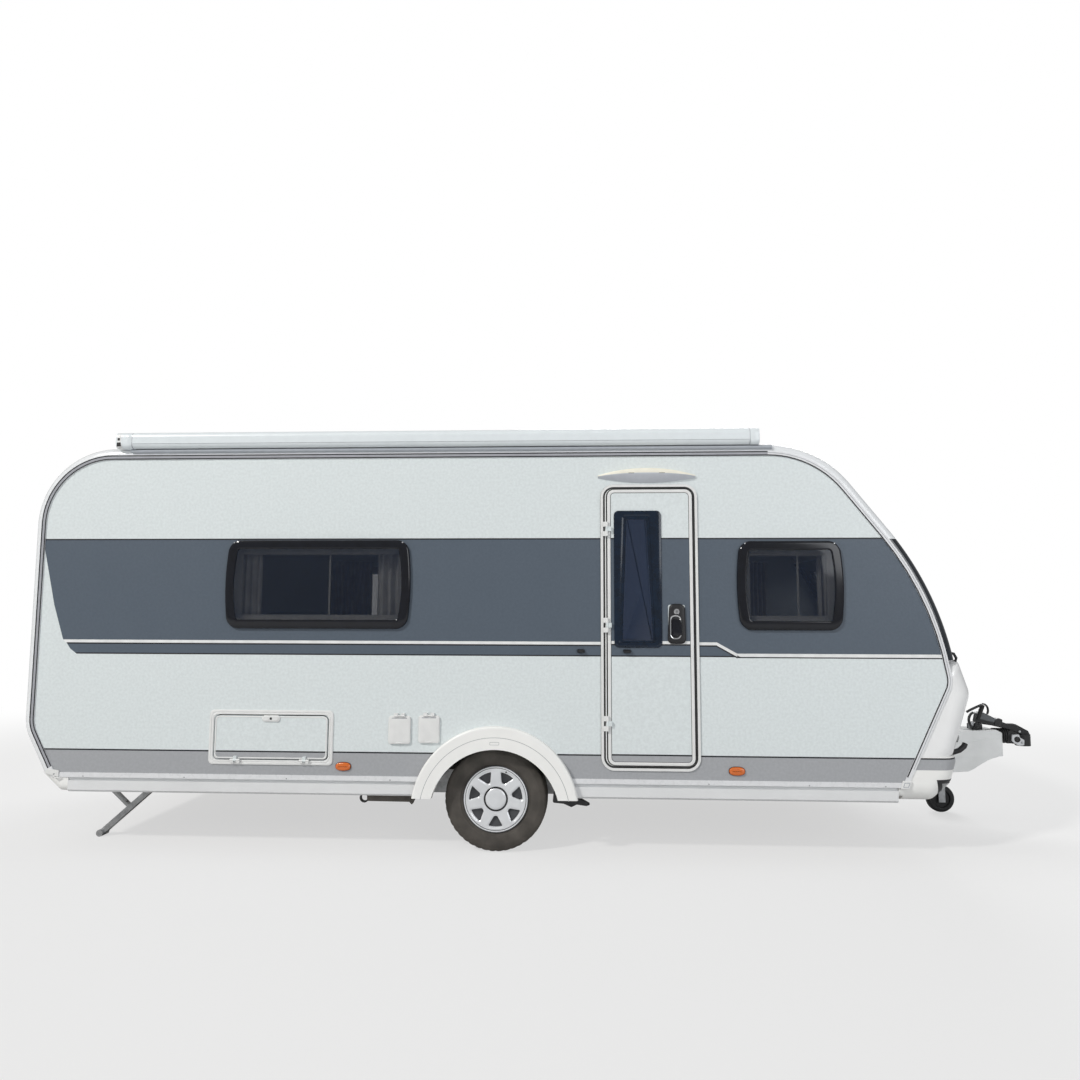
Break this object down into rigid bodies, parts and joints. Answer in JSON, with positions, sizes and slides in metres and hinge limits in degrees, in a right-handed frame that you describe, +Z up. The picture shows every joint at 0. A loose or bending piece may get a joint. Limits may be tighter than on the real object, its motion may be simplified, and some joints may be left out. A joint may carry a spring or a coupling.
{
  "type": "travel caravan",
  "caption": "Single-axle touring caravan with a sloping nose, side door, storage hatch, gas locker, corner steadies, jockey wheel and ball coupling.",
  "frame": {"origin": "on the ground under the middle of the overall length and width", "axes": "+X forwards to the coupling, +Y to the left, +Z up; the door is on the -Y side"},
  "size_m": [6.852, 2.404, 2.63],
  "materials": {
    "white_skin": "gloss painted sheet",
    "roof_skin": "gloss moulded sheet",
    "grey_skirt": "painted extrusion",
    "bumper_skin": "satin moulding",
    "alu_trim": "anodised",
    "acrylic": "tinted acrylic",
    "case_grey": "powder coated",
    "lamp_lens": "clear coloured lens",
    "tail_lens": "clear coloured lens",
    "galvanised": "hot-dip galvanised",
    "black_steel": "satin black",
    "tyre_rubber": "matte rubber",
    "wheel_alloy": "painted alloy",
    "black_plastic": "moulded",
    "white_plastic": "moulded",
    "floor_board": "sealed board",
    "cabinet_wood": "laminate",
    "upholstery": "woven"
  },
  "bodies": {
    "caravan": {"floor": "floor_board", "side_wall_right": "white_skin", "side_wall_left": "white_skin", "roof_shell": "roof_skin", "rear_panel": "white_skin", "front_panel": "white_skin", "nose_shell": "white_skin", "bumpers": "bumper_skin", "bulkhead": "cabinet_wood", "side_rails": "alu_trim", "skirts": "grey_skirt", "arch_covers": "bumper_skin", "wheel_boxes": "black_plastic", "awning_case": "case_grey", "roof_lights": "white_plastic", "windows_right": "acrylic", "windows_left": "acrylic", "windows_ends": "acrylic", "door_frame": "white_plastic", "service_boxes": "white_plastic", "side_lamps": "lamp_lens", "tail_lamps": "tail_lens", "chassis_rail_right": "galvanised", "chassis_rail_left": "galvanised", "drawbar_arm_right": "galvanised", "drawbar_arm_left": "galvanised", "cross_members": "galvanised", "axle_beam": "galvanised", "trailing_arms": "black_steel", "drawbar_cover": "white_plastic", "overrun_tube": "black_steel", "coupling_head": "black_steel", "handbrake_lever": "black_steel", "jockey_sleeve": "galvanised", "steady_mounts": "galvanised", "bed_base": "cabinet_wood", "mattress": "upholstery", "cabinets": "cabinet_wood", "sofa_base": "cabinet_wood", "sofa_cushions": "upholstery"},
    "wheel_right": {"tyre_right": "tyre_rubber", "rim_right": "wheel_alloy"},
    "wheel_left": {"tyre_left": "tyre_rubber", "rim_left": "wheel_alloy"},
    "door": {"door_panel": "white_skin", "door_window": "acrylic"},
    "storage_hatch": {"hatch_lid": "white_skin"},
    "mains_flap": {"service_flap_mains": "white_plastic"},
    "water_flap": {"service_flap_water": "white_plastic"},
    "locker_lid": {"gas_locker_lid": "white_skin"},
    "jockey_stem": {"jockey_stem": "galvanised"},
    "jockey_fork": {"jockey_fork": "galvanised"},
    "jockey_wheel": {"jockey_wheel": "tyre_rubber"},
    "brace_rear_right": {"steady_brace_rear_right": "galvanised"},
    "leg_rear_right": {"steady_leg_rear_right": "galvanised"},
    "brace_rear_left": {"steady_brace_rear_left": "galvanised"},
    "leg_rear_left": {"steady_leg_rear_left": "galvanised"},
    "brace_front_right": {"steady_brace_front_right": "galvanised"},
    "leg_front_right": {"steady_leg_front_right": "galvanised"},
    "brace_front_left": {"steady_brace_front_left": "galvanised"},
    "leg_front_left": {"steady_leg_front_left": "galvanised"}
  },
  "joints": [
    {"name": "wheel_right_spin", "type": "hinge", "parent": "caravan", "child": "wheel_right", "pos_m": [-0.381, -1.0075, 0.32], "axis": [0, 1, 0], "continuous": true},
    {"name": "wheel_left_spin", "type": "hinge", "parent": "caravan", "child": "wheel_left", "pos_m": [-0.381, 1.0075, 0.32], "axis": [0, 1, 0], "continuous": true},
    {"name": "door_swing", "type": "hinge", "parent": "caravan", "child": "door", "pos_m": [0.311, -1.168, 1.393], "axis": [0, 0, -1], "range_deg": [0, 165]},
    {"name": "hatch_swing", "type": "hinge", "parent": "caravan", "child": "storage_hatch", "pos_m": [-1.7885, -1.168, 0.55], "axis": [1, 0, 0], "range_deg": [0, 120]},
    {"name": "mains_flap_swing", "type": "hinge", "parent": "caravan", "child": "mains_flap", "pos_m": [-0.978, -1.168, 0.829], "axis": [-1, 0, 0], "range_deg": [0, 100]},
    {"name": "water_flap_swing", "type": "hinge", "parent": "caravan", "child": "water_flap", "pos_m": [-0.7935, -1.168, 0.833], "axis": [-1, 0, 0], "range_deg": [0, 100]},
    {"name": "locker_lid_swing", "type": "hinge", "parent": "caravan", "child": "locker_lid", "pos_m": [2.478, 0, 1.169], "axis": [0, -1, 0], "range_deg": [0, 80]},
    {"name": "jockey_slide", "type": "slide", "parent": "caravan", "child": "jockey_stem", "axis": [0, 0, 1], "range_m": [0, 0.16]},
    {"name": "jockey_swivel", "type": "hinge", "parent": "jockey_stem", "child": "jockey_fork", "pos_m": [2.849, 0.205, 0.234], "axis": [0, 0, 1], "continuous": true},
    {"name": "jockey_spin", "type": "hinge", "parent": "jockey_fork", "child": "jockey_wheel", "pos_m": [2.849, 0.205, 0.1], "axis": [0, 1, 0], "continuous": true},
    {"name": "brace_rear_right_swing", "type": "hinge", "parent": "caravan", "child": "brace_rear_right", "pos_m": [-3.071, -0.85, 0.4], "axis": [0, -1, 0], "range_deg": [0, 37.04]},
    {"name": "leg_rear_right_swing", "type": "hinge", "parent": "brace_rear_right", "child": "leg_rear_right", "pos_m": [-2.82774, -0.85, 0.18447], "axis": [0, -1, 0], "range_deg": [-74.09, 0.01]},
    {"name": "brace_rear_left_swing", "type": "hinge", "parent": "caravan", "child": "brace_rear_left", "pos_m": [-3.071, 0.85, 0.4], "axis": [0, -1, 0], "range_deg": [0, 37.04]},
    {"name": "leg_rear_left_swing", "type": "hinge", "parent": "brace_rear_left", "child": "leg_rear_left", "pos_m": [-2.82774, 0.85, 0.18447], "axis": [0, -1, 0], "range_deg": [-74.09, 0.01]},
    {"name": "brace_front_right_swing", "type": "hinge", "parent": "caravan", "child": "brace_front_right", "pos_m": [1.829, -0.85, 0.4], "axis": [0, -1, 0], "range_deg": [0, 37.04]},
    {"name": "leg_front_right_swing", "type": "hinge", "parent": "brace_front_right", "child": "leg_front_right", "pos_m": [1.505, -0.85, 0.3745], "axis": [0, -1, 0], "range_deg": [-74.09, 0.01]},
    {"name": "brace_front_left_swing", "type": "hinge", "parent": "caravan", "child": "brace_front_left", "pos_m": [1.829, 0.85, 0.4], "axis": [0, -1, 0], "range_deg": [0, 37.04]},
    {"name": "leg_front_left_swing", "type": "hinge", "parent": "brace_front_left", "child": "leg_front_left", "pos_m": [1.505, 0.85, 0.3745], "axis": [0, -1, 0], "range_deg": [-74.09, 0.01]}
  ],
  "couplings": [
    {"joint": "leg_rear_right_swing", "follows": "brace_rear_right_swing", "ratio": -2},
    {"joint": "leg_rear_left_swing", "follows": "brace_rear_left_swing", "ratio": -2},
    {"joint": "leg_front_right_swing", "follows": "brace_front_right_swing", "ratio": -2},
    {"joint": "leg_front_left_swing", "follows": "brace_front_left_swing", "ratio": -2}
  ]
}
